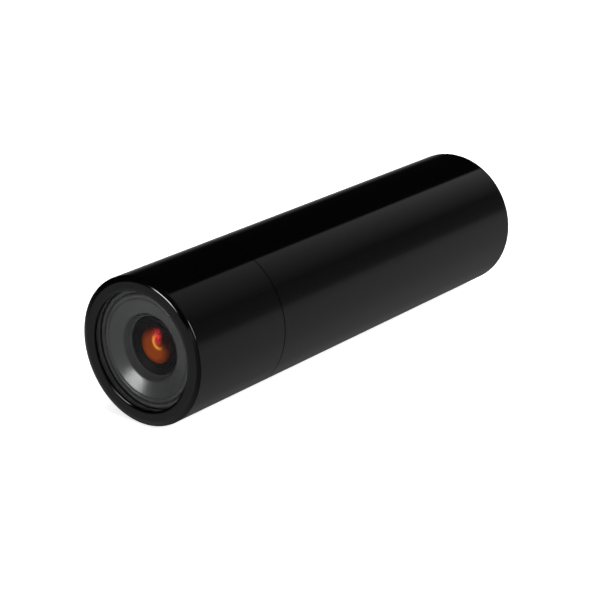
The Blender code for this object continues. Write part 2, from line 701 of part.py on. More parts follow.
def make_usb_socket(parent):
    wall = 0.3
    outer = rounded_slot(USB_HALF_WIDTH, USB_HALF_HEIGHT, USB_Z)
    inner = rounded_slot(USB_HALF_WIDTH - wall, USB_HALF_HEIGHT - wall, USB_Z)
    shell = prism("usb_socket", outer, USB_Y, "steel", parent)
    pocket = prism("usb_pocket_tool", inner, (USB_Y[0] + 1.0, USB_Y[1] + 1), "steel")
    combine(shell, pocket, "DIFFERENCE")
    tongue_z = (USB_Z - 0.35, USB_Z + 0.35)
    tongue_y = (USB_Y[0] + 1.1, USB_Y[1] - 1.0)
    block("usb_tongue", (-3.35, 3.35), tongue_y, tongue_z, "black_plastic", parent)


def make_camera():
    camera = group("guide_camera", TOTAL_LENGTH / 2)
    front = group("front_group", 0, camera)
    lens = group("lens_group", LENS_FRONT, camera)
    bpy.context.view_layer.update()
    make_main_tube(camera)
    make_front_barrel(front)
    make_window_stack(front, front)
    make_lens(lens, lens)
    make_lock_ring(camera)
    make_lens_holder(camera)
    make_sensor(camera)
    make_bulkheads(camera)
    make_rails(camera)
    make_main_board(camera)
    make_flex_cable(camera)
    make_rear_cap(camera)
    make_guide_socket(camera)
    make_usb_socket(camera)


clear_scene()
finishes = make_finishes()
make_camera()
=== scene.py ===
"""Looks of the guide camera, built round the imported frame.

Profiles are in millimetres. A station is a distance behind the flat front rim, along the optical
axis (+Y), and a radius is a distance from that axis. Front is -Y, right is +X and up is +Z.
"""

import math

import bmesh
import bpy
from mathutils import Matrix, Vector


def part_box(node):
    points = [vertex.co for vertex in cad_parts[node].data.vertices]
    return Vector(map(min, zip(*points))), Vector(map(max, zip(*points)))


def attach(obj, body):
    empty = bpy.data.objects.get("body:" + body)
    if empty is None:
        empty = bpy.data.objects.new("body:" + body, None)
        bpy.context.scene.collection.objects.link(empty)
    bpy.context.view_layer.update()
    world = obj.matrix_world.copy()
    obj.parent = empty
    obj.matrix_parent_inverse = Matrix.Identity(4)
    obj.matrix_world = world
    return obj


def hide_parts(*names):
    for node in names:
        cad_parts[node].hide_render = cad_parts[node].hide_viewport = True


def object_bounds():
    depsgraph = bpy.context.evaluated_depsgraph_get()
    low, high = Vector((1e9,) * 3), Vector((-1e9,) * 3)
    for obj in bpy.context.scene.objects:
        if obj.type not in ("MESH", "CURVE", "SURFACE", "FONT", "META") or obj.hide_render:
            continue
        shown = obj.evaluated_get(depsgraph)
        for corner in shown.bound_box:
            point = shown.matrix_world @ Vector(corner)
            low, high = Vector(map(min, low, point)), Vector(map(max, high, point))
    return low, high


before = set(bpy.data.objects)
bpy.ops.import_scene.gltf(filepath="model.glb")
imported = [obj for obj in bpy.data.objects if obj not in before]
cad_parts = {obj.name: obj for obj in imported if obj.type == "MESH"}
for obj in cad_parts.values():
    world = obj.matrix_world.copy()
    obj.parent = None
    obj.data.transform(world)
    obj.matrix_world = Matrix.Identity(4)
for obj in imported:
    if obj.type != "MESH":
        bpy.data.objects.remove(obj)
cad_low, cad_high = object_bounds()

MM = 0.001
FRONT_Y = cad_low.y
FLOOR_Z = cad_low.z

# Sides of a turned piece
FINE, MEDIUM, SMALL = 192, 96, 48
# How far the extra points of a profile stand from its corners
HOLD = 0.06
SHARP_ANGLE = math.radians(35)


def span(node):
    """First station, last station and outer radius of a CAD node about the optical axis."""
    low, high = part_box(node)
    return (low.y - FRONT_Y) / MM, (high.y - FRONT_Y) / MM, high.x / MM


# ---------------------------------------------------------------- mesh tools


def object_from(name, bm, material):
    """A shaded object from a mesh made in millimetres, x and z about the axis and y a station."""
    bmesh.ops.recalc_face_normals(bm, faces=bm.faces[:])
    to_frame = Matrix.Translation((0, FRONT_Y, 0)) @ Matrix.Scale(MM, 4)
    bmesh.ops.transform(bm, matrix=to_frame, verts=bm.verts[:])
    mesh = bpy.data.meshes.new(name)
    bm.to_mesh(mesh)
    bm.free()
    mesh.shade_smooth()
    mesh.set_sharp_from_angle(angle=SHARP_ANGLE)
    mesh.materials.append(material)
    obj = bpy.data.objects.new(name, mesh)
    bpy.context.scene.collection.objects.link(obj)
    return obj


def spun(bm, profile, sides):
    """Adds a turned solid to bm. The profile closes on itself unless it starts on the axis."""
    points = [bm.verts.new((radius, station, 0)) for radius, station in profile]
    edges = [bm.edges.new(pair) for pair in zip(points, points[1:])]
    if profile[0][0] > 0:
        edges.append(bm.edges.new((points[-1], points[0])))
    bmesh.ops.spin(
        bm,
        geom=points + edges,
        cent=(0, 0, 0),
        axis=(0, 1, 0),
        angle=2 * math.pi,
        steps=sides,
        use_merge=True,
    )
    bmesh.ops.remove_doubles(bm, verts=bm.verts[:], dist=1e-5)


def held(profile, closed):
    """The profile with extra points near the ends of its long lines, so that they shade straight."""
    points = []
    count = len(profile)
    for i in range(count if closed else count - 1):
        start = Vector(profile[i])
        end = Vector(profile[(i + 1) % count])
        points.append(profile[i])
        length = (end - start).length
        if length > 8 * HOLD:
            way = (end - start) * (HOLD / length)
            points.append(tuple(start + way))
            points.append(tuple(end - way))
    if not closed:
        points.append(profile[-1])
    return points


def lathe(name, profile, material, sides, extra=None):
    """A turned piece; extra adds more to its mesh, such as a thread."""
    bm = bmesh.new()
    spun(bm, held(profile, profile[0][0] > 0), sides)
    if extra is not None:
        extra(bm)
    return object_from(name, bm, material)


def bend(start, corner, end, steps=8):
    """Points of a smooth corner between two straight lines of a profile."""
    start, corner, end = Vector(start), Vector(corner), Vector(end)
    points = []
    for i in range(steps + 1):
        t = i / steps
        point = start * (1 - t) ** 2 + corner * 2 * t * (1 - t) + end * t * t
        points.append((point.x, point.y))
    return points


def rounded(points, radius, steps):
    """Replaces every corner of a closed profile by an arc-like curve of about this size."""
    smooth = []
    count = len(points)
    for i, corner in enumerate(points):
        here = Vector(corner)
        back = Vector(points[i - 1]) - here
        ahead = Vector(points[(i + 1) % count]) - here
        reach = min(radius, back.length * 0.45, ahead.length * 0.45)
        if reach < 1e-4:
            smooth.append(corner)
            continue
        start = here + back.normalized() * reach
        end = here + ahead.normalized() * reach
        smooth.extend(bend(start, here, end, steps))
    return smooth


def block_section(inner, outer, front, back):
    """The corners of a ring with a rectangular section."""
    return [(inner, front), (outer, front), (outer, back), (inner, back)]


def ring_section(radius, station, section, steps=20):
    """The round section of a sealing ring."""
    turns = [2 * math.pi * i / steps for i in range(steps)]
    return [(radius + section * math.cos(t), station + section * math.sin(t)) for t in turns]


def add_thread(bm, crest, root, start, end, pitch, sides):
    """A helical ridge with its foot buried in a cylinder.

    It runs out to nothing over its first and last quarter turn.
    """
    half_buried, half_foot, half_crest = 0.46 * pitch, 0.44 * pitch, 0.08 * pitch
    turns = (end - start) / pitch
    rows = int(turns * sides)
    run_out = sides / 4
    inside = root + (root - crest) * 0.3
    previous = None
    for row in range(rows + 1):
        turn = 2 * math.pi * row / sides
        station = start + pitch * row / sides
        fade = min(1.0, row / run_out, (rows - row) / run_out)
        top = root + (crest - root) * fade
        section = [
            (inside, -half_buried),
            (root, -half_foot),
            (top, -half_crest),
            (top, half_crest),
            (root, half_foot),
            (inside, half_buried),
        ]
        ring = []
        for radius, along in section:
            place = (radius * math.cos(turn), station + along, -radius * math.sin(turn))
            ring.append(bm.verts.new(place))
        if previous is not None:
            for k in range(len(ring)):
                after = (k + 1) % len(ring)
                bm.faces.new((previous[k], previous[after], ring[after], ring[k]))
        else:
            bm.faces.new(ring)
        previous = ring
    bm.faces.new(list(reversed(previous)))


def box_piece(name, low, high, material):
    """A box between two corners."""
    bm = bmesh.new()
    made = bmesh.ops.create_cube(bm, size=1.0)["verts"]
    size = [b - a for a, b in zip(low, high)]
    middle = [(a + b) / 2 for a, b in zip(low, high)]
    bmesh.ops.scale(bm, verts=made, vec=size)
    bmesh.ops.translate(bm, verts=made, vec=middle)
    return object_from(name, bm, material)


def prism_piece(name, outline, first, last, material):
    """An outline across the axis, drawn out from its first station to its last."""
    bm = bmesh.new()
    face = bm.faces.new([bm.verts.new((x, first, z)) for x, z in outline])
    grown = bmesh.ops.extrude_face_region(bm, geom=[face])
    moved = [item for item in grown["geom"] if isinstance(item, bmesh.types.BMVert)]
    bmesh.ops.translate(bm, verts=moved, vec=(0, last - first, 0))
    return object_from(name, bm, material)


def circle(radius, centre, sides=SMALL):
    """The outline of a round hole."""
    turns = [2 * math.pi * i / sides for i in range(sides)]
    return [(centre[0] + radius * math.cos(t), centre[1] + radius * math.sin(t)) for t in turns]


def slot_outline(half_width, half_height, centre_z, steps=12):
    """The outline of a slot with half-round ends."""
    reach = half_width - half_height
    outline = []
    for side in (1, -1):
        for i in range(steps + 1):
            turn = math.radians(-90 + 180 * i / steps)
            across = side * (reach + half_height * math.cos(turn))
            outline.append((across, centre_z + side * half_height * math.sin(turn)))
    return outline


def subtract(obj, tools):
    """Cuts the tools out of a piece, applies the cuts and removes the tools."""
    for tool in tools:
        modifier = obj.modifiers.new("cut", "BOOLEAN")
        modifier.operation = "DIFFERENCE"
        modifier.solver = "EXACT"
        modifier.object = tool
    graph = bpy.context.evaluated_depsgraph_get()
    mesh = bpy.data.meshes.new_from_object(obj.evaluated_get(graph))
    obj.modifiers.clear()
    obj.data = mesh
    mesh.shade_smooth()
    mesh.set_sharp_from_angle(angle=SHARP_ANGLE)
    for tool in tools:
        bpy.data.objects.remove(tool)


def soften(obj, width):
    """A small bevel, this many millimetres wide, on the sharp edges."""
    modifier = obj.modifiers.new("soft_edges", "BEVEL")
    modifier.width = width * MM
    modifier.segments = 2
    modifier.limit_method = "ANGLE"
    modifier.angle_limit = math.radians(40)


def settle(obj, body, slot, *nodes):
    """Puts a finished piece on its body, in place of the CAD nodes that it stands for."""
    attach(obj, body)
    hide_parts(*nodes)


# ---------------------------------------------------------------- materials


def math_node(tree, operation, first, second=None):
    """Adds a Math node. Each operand is a number or a socket."""
    made = tree.nodes.new("ShaderNodeMath")
    made.operation = operation
    for socket, value in zip(made.inputs, (first, second)):
        if isinstance(value, (int, float)):
            socket.default_value = value
        elif value is not None:
            tree.links.new(value, socket)
    return made.outputs[0]


class Shader:
    """A new material and short ways to add nodes to it."""

    def __init__(self, name, colour, roughness, metallic=0.0):
        self.material = bpy.data.materials.new(name)
        self.material.use_nodes = True
        self.tree = self.material.node_tree
        self.surface = self.tree.nodes["Principled BSDF"]
        self.output = self.tree.nodes["Material Output"]
        self.put("Base Color", (*colour, 1.0))
        self.put("Roughness", roughness)
        self.put("Metallic", metallic)

    def put(self, socket, value):
        self.surface.inputs[socket].default_value = value

    def node(self, kind, **inputs):
        made = self.tree.nodes.new(kind)
        for key, value in inputs.items():
            made.inputs[key.replace("_", " ")].default_value = value
        return made

    def join(self, source, target):
        self.tree.links.new(source, target)

    def position(self):
        """Object coordinates in millimetres, which ride with the piece."""
        coordinates = self.node("ShaderNodeTexCoord")
        scale = self.tree.nodes.new("ShaderNodeVectorMath")
        scale.operation = "SCALE"
        scale.inputs["Scale"].default_value = 1 / MM
        self.join(coordinates.outputs["Object"], scale.inputs[0])
        return scale.outputs[0]

    def math(self, operation, first, second=None):
        return math_node(self.tree, operation, first, second)

    def noise(self, scale, detail=3.0, stretch=None):
        """A noise over the piece, in waves per millimetre; stretch scales its place on each axis."""
        place = self.position()
        if stretch is not None:
            shaped = self.node("ShaderNodeVectorMath")
            shaped.operation = "MULTIPLY"
            shaped.inputs[1].default_value = stretch
            self.join(place, shaped.inputs[0])
            place = shaped.outputs[0]
        made = self.node("ShaderNodeTexNoise", Scale=scale, Detail=detail)
        self.join(place, made.inputs["Vector"])
        return made.outputs["Fac"]

    def radius(self):
        """Distance from the optical axis, in millimetres."""
        parts = self.node("ShaderNodeSeparateXYZ")
        self.join(self.position(), parts.inputs[0])
        across = self.math("MULTIPLY", parts.outputs[0], parts.outputs[0])
        up = self.math("MULTIPLY", parts.outputs[2], parts.outputs[2])
        return self.math("SQRT", self.math("ADD", across, up))

    def distance(self, x, z, squeeze=1.0):
        """Distance in millimetres from a point across the lens; squeeze narrows it across X."""
        aside = self.node("ShaderNodeVectorMath")
        aside.operation = "SUBTRACT"
        aside.inputs[1].default_value = (x, 0, z)
        self.join(self.position(), aside.inputs[0])
        flat = self.node("ShaderNodeVectorMath")
        flat.operation = "MULTIPLY"
        flat.inputs[1].default_value = (squeeze, 0, 1)
        self.join(aside.outputs[0], flat.inputs[0])
        length = self.node("ShaderNodeVectorMath")
        length.operation = "LENGTH"
        self.join(flat.outputs[0], length.inputs[0])
        return length.outputs["Value"]

    def rings(self, period):
        """A wave outward from the optical axis, like the rings that turning leaves."""
        return self.math("SINE", self.math("MULTIPLY", self.radius(), 2 * math.pi / period))

    def spread(self, factor, low, high, start, end):
        """Maps a factor from start..end to low..high."""
        made = self.tree.nodes.new("ShaderNodeMapRange")
        made.inputs["From Min"].default_value = start
        made.inputs["From Max"].default_value = end
        made.inputs["To Min"].default_value = low
        made.inputs["To Max"].default_value = high
        self.join(factor, made.inputs["Value"])
        return made.outputs["Result"]

    def vary(self, noise, low, high):
        """Maps a noise to low..high over the middle range, where most of it lies."""
        return self.spread(noise, low, high, start=0.3, end=0.7)

    def blend(self, factor, first, second):
        """Mixes two colours by a factor."""
        made = self.tree.nodes.new("ShaderNodeMix")
        made.data_type = "RGBA"
        colours = [socket for socket in made.inputs if socket.type == "RGBA"]
        for socket, value in zip(colours, (first, second)):
            if isinstance(value, tuple):
                socket.default_value = (*value, 1.0)
            else:
                self.join(value, socket)
        self.join(factor, made.inputs["Factor"])
        return [socket for socket in made.outputs if socket.type == "RGBA"][0]

    def colour(self, source):
        self.join(source, self.surface.inputs["Base Color"])

    def rough(self, source):
        self.join(source, self.surface.inputs["Roughness"])

    def bump(self, height, distance, strength):
        """A bump that follows the height; the distance is its depth in millimetres."""
        made = self.node("ShaderNodeBump", Strength=strength, Distance=distance * MM)
        self.join(height, made.inputs["Height"])
        self.join(made.outputs[0], self.surface.inputs["Normal"])


def gloss_black():
    """Polished black finish, with a faint smear of handling and fine polish lines along the tube."""
    s = Shader("gloss_black", (0.0006, 0.0006, 0.0007), 0.1)
    smear = s.noise(0.05, 4.0, (1.0, 0.35, 1.0))
    fine = s.noise(1.4, 2.0, (1.0, 0.15, 1.0))
    mixed = s.math("ADD", s.math("MULTIPLY", smear, 0.75), s.math("MULTIPLY", fine, 0.25))
    s.rough(s.vary(mixed, 0.04, 0.1))
    s.colour(s.blend(smear, (0.0004, 0.0004, 0.0005), (0.0009, 0.0009, 0.001)))
    s.bump(s.noise(0.6, 2.0), 0.0006, 0.35)
    return s.material


def turned_grey():
    """Satin dark grey anodising with fine rings left by turning."""
    s = Shader("turned_grey", (0.075, 0.075, 0.077), 0.24, 0.35)
    wander = s.noise(0.35, 2.0)
    s.colour(s.blend(wander, (0.07, 0.07, 0.073), (0.08, 0.08, 0.083)))
    s.rough(s.vary(wander, 0.205, 0.235))
    s.bump(s.rings(0.8), 0.0008, 0.3)
    return s.material


def lens_black():
    """Matt black anodised metal with a faint purple cast and fine rings."""
    s = Shader("lens_black", (0.003, 0.0025, 0.003), 0.42)
    s.put("Specular IOR Level", 0.12)
    s.put("Specular Tint", (1.0, 0.85, 1.0, 1.0))
    grain = s.noise(1.2, 2.0)
    s.colour(s.blend(grain, (0.0011, 0.0008, 0.0011), (0.0019, 0.0015, 0.0019)))
    s.rough(s.vary(grain, 0.4, 0.46))
    s.bump(s.rings(0.6), 0.0005, 0.2)
    return s.material


def inner_black():
    """Matt black anodised inner metal."""
    s = Shader("inner_black", (0.012, 0.012, 0.013), 0.45, 0.3)
    grain = s.noise(3.0, 4.0)
    s.colour(s.blend(grain, (0.009, 0.009, 0.01), (0.017, 0.017, 0.018)))
    s.rough(s.vary(grain, 0.4, 0.55))
    s.bump(grain, 0.0015, 0.5)
    return s.material


def rubber(name, low, high):
    """Rubber with a fine grain and uneven gloss."""
    s = Shader(name, low, 0.6)
    grain = s.noise(5.0, 4.0)
    s.colour(s.blend(grain, low, high))
    s.rough(s.vary(s.noise(1.2), 0.5, 0.72))
    s.bump(grain, 0.003, 0.6)
    return s.material


def machined(name, colour, roughness):
    """Bare metal with turning or milling lines that run across the axis."""
    s = Shader(name, colour, roughness, 1.0)
    lines = s.noise(6.0, 3.0, (0.15, 1.0, 0.15))
    dull = tuple(part * 0.82 for part in colour)
    s.colour(s.blend(s.noise(0.8, 4.0), dull, colour))
    s.rough(s.vary(lines, roughness * 0.75, roughness * 1.3))
    s.bump(lines, 0.002, 0.5)
    return s.material


def moulded(name, low, high, roughness):
    """Moulded plastic with a fine grain."""
    s = Shader(name, low, roughness)
    grain = s.noise(6.0, 3.0)
    s.colour(s.blend(s.noise(0.9, 4.0), low, high))
    s.rough(s.vary(grain, roughness * 0.85, min(1.0, roughness * 1.2)))
    s.bump(grain, 0.003, 0.5)
    return s.material


def let_light_through(s, tint):
    """Shadow rays and bounced rays pass straight, so that what is behind the glass is lit evenly."""
    path = s.node("ShaderNodeLightPath")
    clear = s.node("ShaderNodeBsdfTransparent", Color=(*tint, 1.0))
    mix = s.node("ShaderNodeMixShader")
    bounced = s.math("MAXIMUM", path.outputs["Is Diffuse Ray"], path.outputs["Is Glossy Ray"])
    passed = s.math("SUBTRACT", 1.0, path.outputs["Is Transmission Ray"])
    bounced = s.math("MULTIPLY", bounced, passed)
    s.join(s.math("MAXIMUM", path.outputs["Is Shadow Ray"], bounced), mix.inputs[0])
    s.join(s.surface.outputs[0], mix.inputs[1])
    s.join(clear.outputs[0], mix.inputs[2])
    s.join(mix.outputs[0], s.output.inputs["Surface"])


def window_glass():
    """Flat polished glass, whose anti-reflection coating mirrors nothing."""
    s = Shader("window_glass", (0.97, 0.975, 0.97), 0.0)
    s.put("Transmission Weight", 1.0)
    s.put("IOR", 1.5)
    s.put("Specular Tint", (0.0, 0.0, 0.0, 1.0))
    let_light_through(s, (0.95, 0.955, 0.95))
    return s.material


def coated_glass():
    """Clear glass of the inner elements, whose coating mirrors pink."""
    s = Shader("coated_glass", (1.0, 0.86, 0.8), 0.0)
    s.put("Transmission Weight", 1.0)
    s.put("IOR", 1.5)
    s.put("Specular Tint", (1.0, 0.06, 0.25, 1.0))
    s.rough(s.spread(s.noise(0.6, 3.0), 0.03, 0.09, 0.35, 0.7))
    let_light_through(s, (0.95, 0.9, 0.88))
    return s.material


def orange_glass():
    """Orange-coated front element, with painted shade, a painted pink highlight and a painted light
    orange arc.
    """
    s = Shader("orange_glass", (0.14, 0.02, 0.001), 0.15)
    s.put("Specular IOR Level", 0.15)
    s.put("Specular Tint", (1.0, 0.25, 0.05, 1.0))
    wave = s.noise(0.5, 2.0)
    # Noise that breaks up the painted pink highlight below.
    highlight_mottle = s.spread(s.noise(1.6, 3.0), 0.45, 1.0, 0.4, 0.55)
    colour = s.blend(wave, (0.24, 0.03, 0.0005), (0.34, 0.058, 0.001))

    # Places are x and z across the lens; each colour fades over a range of distances from its place.
    # Painted shade: the lens darkens to brown toward its rim.
    rim = s.spread(s.distance(-0.5, -0.7), 0.0, 1.0, 2.2, 3.9)
    colour = s.blend(rim, colour, (0.035, 0.004, 0.001))
    # Painted shade: near black at the upper right.
    shade = s.spread(s.distance(3.6, 3.2), 1.0, 0.0, 2.0, 4.2)
    colour = s.blend(shade, colour, (0.008, 0.0005, 0.0005))
    # Painted highlight: a pink patch, broken up by noise.
    pink = s.spread(s.distance(0.4, 1.9, 1.3), 1.0, 0.0, 0.8, 2.1)
    colour = s.blend(s.math("MULTIPLY", pink, highlight_mottle), colour, (0.95, 0.035, 0.05))

    # Painted highlight: a light orange arc, fading at its ends.
    crescent_radius = 1.55
    off_crescent = s.math("SUBTRACT", s.distance(1.25, 1.15), crescent_radius)
    crescent_highlight = s.spread(s.math("ABSOLUTE", off_crescent), 1.0, 0.0, 0.1, 0.5)
    crescent_ends = s.spread(s.distance(-0.1, 0.4), 1.0, 0.0, 1.1, 2.3)
    yellow_highlight = s.math("MULTIPLY", crescent_highlight, crescent_ends)
    s.colour(s.blend(yellow_highlight, colour, (1.0, 0.4, 0.05)))
    s.rough(s.vary(wave, 0.1, 0.2))
    return s.material


MATERIALS = {
    "gloss_black": gloss_black(),
    "turned_grey": turned_grey(),
    "lens_black": lens_black(),
    "inner_black": inner_black(),
    "rubber": rubber("rubber", (0.01, 0.01, 0.01), (0.02, 0.02, 0.02)),
    "grey_seal": rubber("grey_seal", (0.06, 0.06, 0.062), (0.08, 0.08, 0.083)),
    "aluminium": machined("aluminium", (0.72, 0.73, 0.74), 0.34),
    "steel": machined("steel", (0.5, 0.5, 0.52), 0.28),
    "gold": machined("gold", (0.85, 0.6, 0.22), 0.25),
    "black_plastic": moulded("black_plastic", (0.012, 0.012, 0.013), (0.022, 0.022, 0.023), 0.45),
    "chip_plastic": moulded("chip_plastic", (0.018, 0.018, 0.02), (0.03, 0.03, 0.032), 0.55),
    "ferrite": moulded("ferrite", (0.1, 0.1, 0.11), (0.16, 0.16, 0.17), 0.6),
    "ceramic": moulded("ceramic", (0.2, 0.19, 0.22), (0.3, 0.29, 0.32), 0.5),
    "film": moulded("film", (0.5, 0.26, 0.06), (0.62, 0.34, 0.1), 0.35),
    "board": moulded("board", (0.006, 0.05, 0.025), (0.015, 0.1, 0.05), 0.4),
    "light_guide": moulded("light_guide", (0.65, 0.7, 0.7), (0.8, 0.84, 0.84), 0.15),
    "window_glass": window_glass(),
    "coated_glass": coated_glass(),
    "orange_glass": orange_glass(),
    "ground_edge": moulded("ground_edge", (0.05, 0.05, 0.052), (0.075, 0.075, 0.078), 0.8),
}


# ---------------------------------------------------------------- front barrel and tube


def outer_bevel(flat_radius, end_radius, depth):
    """The outer edge of the front: a flat bevel with a smooth corner at each end."""
    slope = depth / (end_radius - flat_radius)
    flat_reach, end_reach = 0.3, 0.18
    first = bend(
        (flat_radius - flat_reach, 0),
        (flat_radius, 0),
        (flat_radius + flat_reach, flat_reach * slope),
    )
    second = bend(
        (end_radius - end_reach, depth - end_reach * slope),
        (end_radius, depth),
        (end_radius, depth + end_reach),
    )
    return first + second


def inner_lip(flat_radius, lip_radius):
    """The inner edge of the front, from the lip outward: a tight corner, then a shallow dish."""
    dish_middle, dish_end = (13.04, 0), (12.68, 0.097)
    corner_middle, corner_end = (lip_radius, 0.127), (lip_radius, 0.24)
    dish = bend((flat_radius, 0), dish_middle, dish_end)
    corner = bend(dish_end, corner_middle, corner_end, steps=5)
    return [*reversed(corner), *reversed(dish[:-1])]


def make_front_barrel():
    """The front sleeve: lip and bevelled rim, then a spigot with the seal's groove and the thread."""
    _, last, _ = span("front_barrel")
    tube_first, _, outer = span("main_tube")
    bore, lip_radius, lip_back = 13.05, 12.57, 0.6
    flat_inner, flat_outer, bevel_depth = 13.4, 14.8, 0.4
    shoulder = tube_first - 0.2
    spigot_radius, root_radius = 14.5, 14.15
    groove, groove_radius = (27.2, 28.3), 13.8
    thread_pitch = 0.75
    seam_edge, chamfer = 0.02, 0.1
    profile = [
        (lip_radius, lip_back),
        *inner_lip(flat_inner, lip_radius),
        *outer_bevel(flat_outer, outer, bevel_depth),
        (outer, shoulder - seam_edge),
        (outer - seam_edge, shoulder),
        (spigot_radius, shoulder),
        (spigot_radius, groove[0]),
        (groove_radius, groove[0] + 0.05),
        (groove_radius, groove[1] - 0.05),
        (spigot_radius, groove[1]),
        (spigot_radius, groove[1] + 0.15),
        (root_radius, groove[1] + 0.45),
        (root_radius, last - chamfer),
        (root_radius - chamfer, last),
        (bore + chamfer, last),
        (bore, last - chamfer),
        (bore, lip_back),
    ]

    def thread(bm):
        start, end = groove[1] + 0.75, last - 0.55
        add_thread(bm, spigot_radius, root_radius, start, end, thread_pitch, MEDIUM)

    obj = lathe("front_barrel_shell", profile, MATERIALS["gloss_black"], FINE, extra=thread)
    settle(obj, "front_barrel_body", "black_anodised_shell", "front_barrel")


def make_main_tube():
    """The long tube, with a rounded rear edge, and an inner flange in front of the rear cap."""
    first, last, outer = span("main_tube")
    rear_round = 1.77
    rear_bore, flange_bore, tube_bore, thread_bore = 13.4, 12.2, 14.2, 14.7
    flange = (108.6, 110.5)
    thread_end = 33.6
    seam_edge, chamfer, mouth = 0.02, 0.1, 0.15
    profile = [
        (thread_bore + mouth, first),
        (outer - seam_edge, first),
        (outer, first + seam_edge),
    ]
    steps = 16
    for i in range(steps + 1):
        turn = math.radians(90 * i / steps)
        across = outer - rear_round + rear_round * math.cos(turn)
        profile.append((across, last - rear_round + rear_round * math.sin(turn)))
    profile += [
        (rear_bore + chamfer, last),
        (rear_bore, last - chamfer),
        (rear_bore, flange[1]),
        (flange_bore, flange[1]),
        (flange_bore, flange[0]),
        (tube_bore, flange[0]),
        (tube_bore, thread_end + 0.3),
        (thread_bore, thread_end),
        (thread_bore, first + mouth),
    ]
    obj = lathe("main_tube_shell", profile, MATERIALS["gloss_black"], FINE)
    settle(obj, "camera_body", "black_anodised_shell", "main_tube")


def make_window_stack():
    """The window, its gasket, the ring seal behind it, and the seal of the screw joint."""
    front, back, radius = span("front_window")
    chamfer = 0.15
    window = [
        (0, front),
        (radius - chamfer, front),
        (radius, front + chamfer),
        (radius, back - chamfer),
        (radius - chamfer, back),
        (0, back),
    ]
    obj = lathe("front_window_glass", window, MATERIALS["window_glass"], FINE)
    # Every face that doesn't look along the axis is ground.
    obj.data.materials.append(MATERIALS["ground_edge"])
    for face in obj.data.polygons:
        if abs(face.normal.y) < 0.9:
            face.material_index = 1
    settle(obj, "window_body", "window_glass", "front_window")

    front, back, radius = span("window_gasket")
    inner = 12.62
    gasket = rounded(block_section(inner, radius, front, back), 0.05, 2)
    obj = lathe("window_gasket_ring", gasket, MATERIALS["rubber"], FINE)
    settle(obj, "window_body", "rubber", "window_gasket")

    front, back, radius = span("window_o_ring")
    section = (back - front) / 2
    seal = ring_section(radius - section, (front + back) / 2, section)
    obj = lathe("window_o_ring_seal", seal, MATERIALS["grey_seal"], FINE)
    settle(obj, "window_body", "grey_rubber", "window_o_ring")

    front, back, _ = span("seam_o_ring")
    middle_radius, middle_station = 14.22, 27.75
    seal = ring_section(middle_radius, middle_station, (back - front) / 2)
    obj = lathe("seam_o_ring_seal", seal, MATERIALS["rubber"], FINE)
    settle(obj, "front_barrel_body", "rubber", "seam_o_ring")


def make_shroud():
    """The grey funnel round the lens, and the threaded ring behind it."""
    _, back, radius = span("lens_shroud")
    flange_front, flange_back = 3.95, 6.4
    throat, throat_wall = 6.24, 1.05
    outer_rim = [
        (radius, flange_front),
        (11.58, flange_front),
        (11.54, 3.2),
        (11.4, 3.04),
        (11.1, 2.99),
        (10.85, 3.05),
        (10.66, 3.2),
        (10.5, 3.16),
    ]
    cone = [(10.4, 3.04), (7.45, 3.94)]
    funnel_end = [
        (7.25, 4.03),
        (7.12, 4.2),
        (6.56, 5.1),
        (6.42, 5.26),
        (throat + 0.06, 5.34),
        (throat, 5.42),
    ]
    rear = [
        (throat, back - 0.2),
        (throat + 0.2, back),
        (throat + throat_wall, back),
        (throat + throat_wall, flange_back),
        (radius, flange_back),
    ]
    corners = rounded(outer_rim + cone + funnel_end + rear, 0.06, 2)
    obj = lathe("lens_shroud_funnel", corners, MATERIALS["turned_grey"], FINE)
    settle(obj, "front_barrel_body", "grey_anodised_shroud", "lens_shroud")

    front, back, radius = span("shroud_ring")
    inner, half_slot = 11.4, 1
    corners = rounded(block_section(inner, radius, front, back), 0.1, 2)
    obj = lathe("shroud_ring_threaded", corners, MATERIALS["inner_black"], MEDIUM)
    low = (-radius - 1, back - half_slot, -half_slot)
    high = (radius + 1, back + half_slot, half_slot)
    subtract(obj, [box_piece("slot_tool", low, high, MATERIALS["inner_black"])])
    settle(obj, "front_barrel_body", "inner_black_metal", "shroud_ring")


# ---------------------------------------------------------------- lens


def cap_curve(edge_radius, edge_station, bulge, steps=16):
    """A domed face from the axis out to its edge; its middle stands forward by the bulge."""
    points = []
    for i in range(steps + 1):
        radius = edge_radius * i / steps
        points.append((radius, edge_station - bulge * (1 - (radius / edge_radius) ** 2)))
    return points


